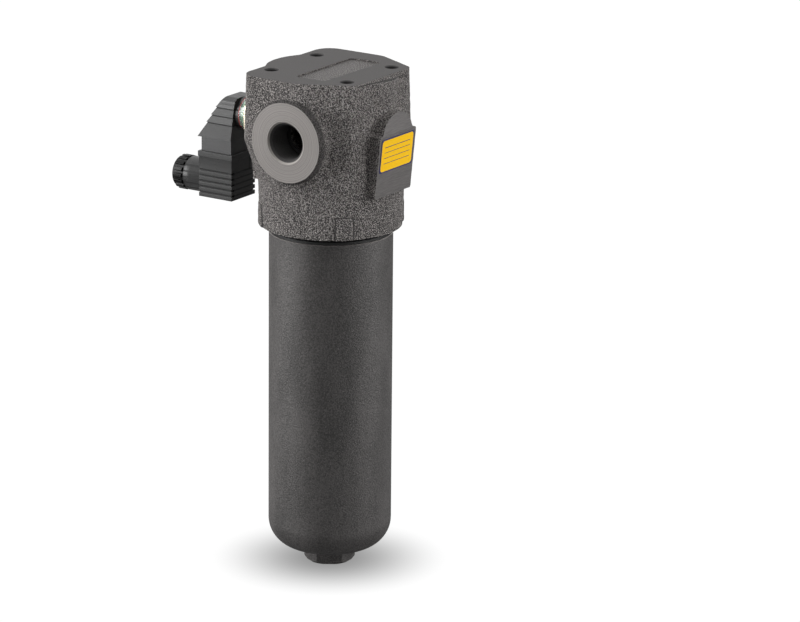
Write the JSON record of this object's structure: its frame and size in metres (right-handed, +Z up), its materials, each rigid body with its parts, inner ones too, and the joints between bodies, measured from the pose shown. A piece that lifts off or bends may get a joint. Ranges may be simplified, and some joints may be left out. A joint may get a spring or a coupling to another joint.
{
  "type": "high pressure filter",
  "caption": "In-line high pressure hydraulic filter with a cast head, a screwed steel bowl, a pleated element and a side clogging indicator with a plug.",
  "frame": {"origin": "centre of the hexagon's flat foot, on the bowl's axis", "axes": "+Z up along the bowl's axis to the head, -Y out of the inlet port, +Y out of the outlet port, +X to the label pad, -X to the indicator"},
  "size_m": [0.179, 0.108, 0.345],
  "materials": {
    "cast_head": "rough sand casting, bare",
    "bowl_steel": "dull phosphated",
    "steel": "turned",
    "spring_steel": "drawn wire",
    "nickel": "nickel plated",
    "cap_zinc": "zinc plated sheet",
    "media": "pleated glass fibre with a mesh",
    "label_yellow": "printed foil",
    "black_plastic": "satin moulded",
    "seal_rubber": "dull",
    "seal_white": "plain",
    "seal_red": "dull",
    "band_green": "gloss",
    "window_clear": "clear",
    "magnet": "sintered",
    "switch_glass": "clear green",
    "terminal_brass": "tinned brass"
  },
  "bodies": {
    "head": {"head": "cast_head", "spigot": "steel", "bypass_spring": "spring_steel", "label": "label_yellow", "indicator_body": "nickel", "indicator_seal": "seal_rubber", "indicator_nose_oring": "seal_rubber", "indicator_spring": "spring_steel", "indicator_window": "window_clear", "window_seal": "seal_red", "elbow_housing": "black_plastic", "reed_switch": "switch_glass", "contact_base": "black_plastic", "contact_blades": "nickel"},
    "bowl_seals": {"bowl_oring": "seal_rubber", "bowl_backup_ring": "seal_white"},
    "bowl": {"bowl": "bowl_steel"},
    "element": {"element_top_cap": "cap_zinc", "element_oring": "seal_rubber", "element_core": "cap_zinc", "element_media": "media", "element_bottom_cap": "cap_zinc"},
    "bypass_poppet": {"bypass_poppet": "steel"},
    "indicator_piston": {"indicator_piston": "nickel", "indicator_magnet": "magnet"},
    "indicator_band": {"indicator_band": "band_green"},
    "connector": {"plug_housing": "black_plastic", "plug_gasket": "seal_rubber", "terminal_block": "black_plastic", "terminal_sockets": "terminal_brass", "terminal_screws": "steel", "plug_screw": "steel", "gland_seal": "seal_rubber", "gland_washer": "steel", "gland_nut": "black_plastic"}
  },
  "joints": [
    {"name": "bowl_draw_off", "type": "slide", "parent": "head", "child": "bowl_seals", "axis": [0, 0, -1], "range_m": [0, 0.235]},
    {"name": "bowl_unscrew", "type": "hinge", "parent": "bowl_seals", "child": "bowl", "pos_m": [0, 0, 0.2355], "axis": [0, 0, 1], "continuous": true},
    {"name": "element_pull_off", "type": "slide", "parent": "head", "child": "element", "axis": [0, 0, -1], "range_m": [0, 0.012]},
    {"name": "bypass_open", "type": "slide", "parent": "head", "child": "bypass_poppet", "axis": [0, 0, -1], "range_m": [0, 0.005], "stiffness_N_per_m": 8000, "springref_m": -0.012, "deforming": ["bypass_spring"]},
    {"name": "indicator_signal", "type": "slide", "parent": "head", "child": "indicator_piston", "axis": [-1, 0, 0], "range_m": [0, 0.0026], "stiffness_N_per_m": 4000, "springref_m": -0.006, "deforming": ["indicator_spring"]},
    {"name": "band_shift", "type": "slide", "parent": "head", "child": "indicator_band", "axis": [-1, 0, 0], "range_m": [0, 0.0026]},
    {"name": "connector_unplug", "type": "slide", "parent": "head", "child": "connector", "axis": [0, 0, -1], "range_m": [0, 0.02]}
  ],
  "couplings": [
    {"joint": "band_shift", "follows": "indicator_signal", "ratio": 1}
  ]
}
